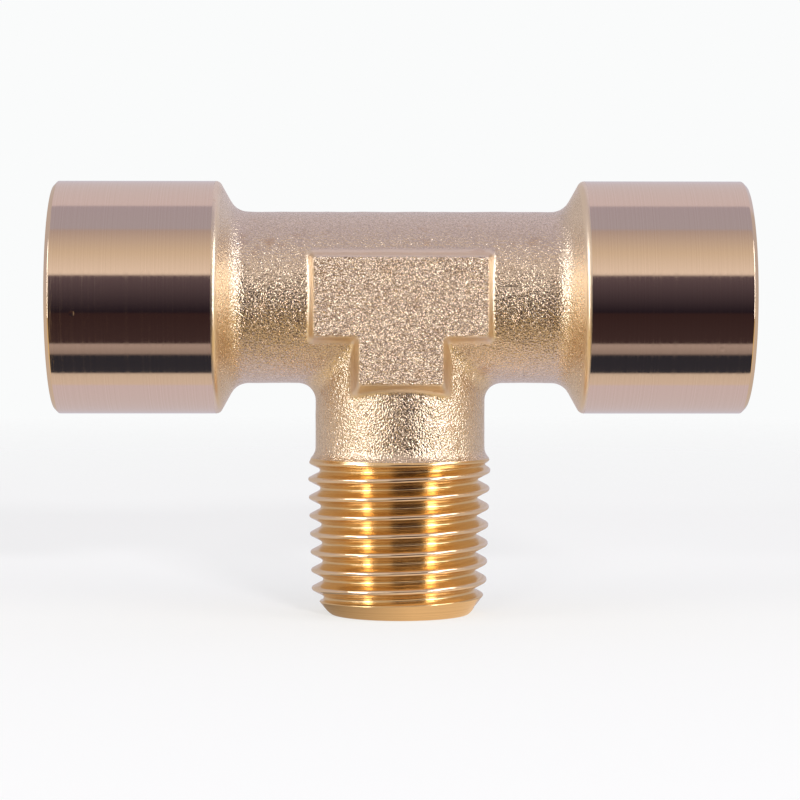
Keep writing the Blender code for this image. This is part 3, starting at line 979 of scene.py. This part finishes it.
def table_top(name, rings, drop, forward, steps, finish):
    """A flat round sheet: rings about a point in front of the foot, and a little below it."""
    outline = np.stack([rings, 0 * rings - drop], axis=-1)
    grid = turned_grid(outline, np.linspace(0, 2 * math.pi, steps + 1))
    points, faces = join_grids([grid - np.array([0.0, forward, 0.0])])
    mesh = bpy.data.meshes.new(name)
    mesh.from_pydata((points * MM).tolist(), [], faces.tolist())
    mesh.materials.append(finish.material)
    top = bpy.data.objects.new(name, mesh)
    bpy.context.scene.collection.objects.link(top)
    return top


def set_floor():
    """A pale round table, which glows a little and fades into the backdrop away from the foot.

    It can't be seen from underneath, and the metal doesn't mirror it.
    """
    finish = Finish("pale_table", metallic=0.0)
    finish.shade("Base Color", (*TABLE_COLOUR, 1.0))
    finish.shade("Roughness", 0.9)
    finish.shade("Specular IOR Level", 0.0)
    finish.shade("Emission Color", (*TABLE_GLOW, 1.0))
    finish.shade("Emission Strength", 1.0)
    from_below = finish.nodes.new("ShaderNodeNewGeometry").outputs["Backfacing"]
    reach = finish.nodes.new("ShaderNodeVectorMath")
    reach.operation = "LENGTH"
    finish.links.new(finish.place(), reach.inputs[0])
    far_off = finish.spread(reach.outputs["Value"], 0.0, 1.0, *TABLE_FADE)
    unseen = finish.sum("MAXIMUM", from_below, far_off)
    clear = finish.nodes.new("ShaderNodeBsdfTransparent").outputs[0]
    surface = finish.mixed(unseen, finish.shader.outputs[0], clear)
    finish.links.new(surface, finish.nodes["Material Output"].inputs["Surface"])
    floor = table_top("table", TABLE_RINGS, TABLE_DROP, 0.0, TABLE_STEPS, finish)
    floor.visible_glossy = False


def set_near_table():
    """The lit table close in front of the foot, which only the foot's chamfer mirrors."""
    finish = Finish("lit_table", metallic=0.0)
    finish.shade("Base Color", (*PATCH_COLOUR, 1.0))
    finish.shade("Emission Color", (*PATCH_GLOW, 1.0))
    across = finish.put("ShaderNodeSeparateXYZ", "X", Vector=finish.place())
    finish.shade("Emission Strength", finish.spread(across, PATCH_DIM, 1.0, *PATCH_SHADE))
    patch = table_top("near_table", PATCH_RINGS, PATCH_DROP, PATCH_FORWARD, PATCH_STEPS, finish)
    patch.visible_camera = False
    patch.visible_diffuse = False
    patch.visible_shadow = False


def set_lamp(name, azimuth, elevation, width, height, distance, strength, mirrored):
    """A soft oblong lamp that faces the foot from so many degrees round and up."""
    light = bpy.data.lights.new(name, "AREA")
    light.shape = "RECTANGLE"
    light.size = width
    light.size_y = height
    light.energy = strength
    lamp = bpy.data.objects.new(name, light)
    bpy.context.scene.collection.objects.link(lamp)
    turn, rise = math.radians(azimuth), math.radians(elevation)
    way = Vector((math.sin(turn) * math.cos(rise), -math.cos(turn) * math.cos(rise), math.sin(rise)))
    lamp.location = way * distance
    lamp.rotation_euler = (-way).to_track_quat("-Z", "Y").to_euler()
    lamp.visible_camera = False
    lamp.visible_glossy = mirrored


# ---------------------------------------------------------------- the fitting in its studio

HANDS = (("left", -1), ("right", 1))

blasted = blasted_brass()
turned = turned_brass()
threaded = thread_brass()
forged_skin(blasted)
for hand, side in HANDS:
    collar(hand + "_collar", side, turned)
for hand, side in HANDS:
    socket(hand + "_socket", side, threaded)
branch_thread(threaded)
branch_end(turned)
bores(turned)

set_camera()
set_room()
set_floor()
set_near_table()
for lamp in LAMPS:
    set_lamp(*lamp, mirrored=True)
for lamp in SHADE_LAMPS:
    set_lamp(*lamp, mirrored=False)
bpy.context.scene.view_settings.view_transform = "Standard"
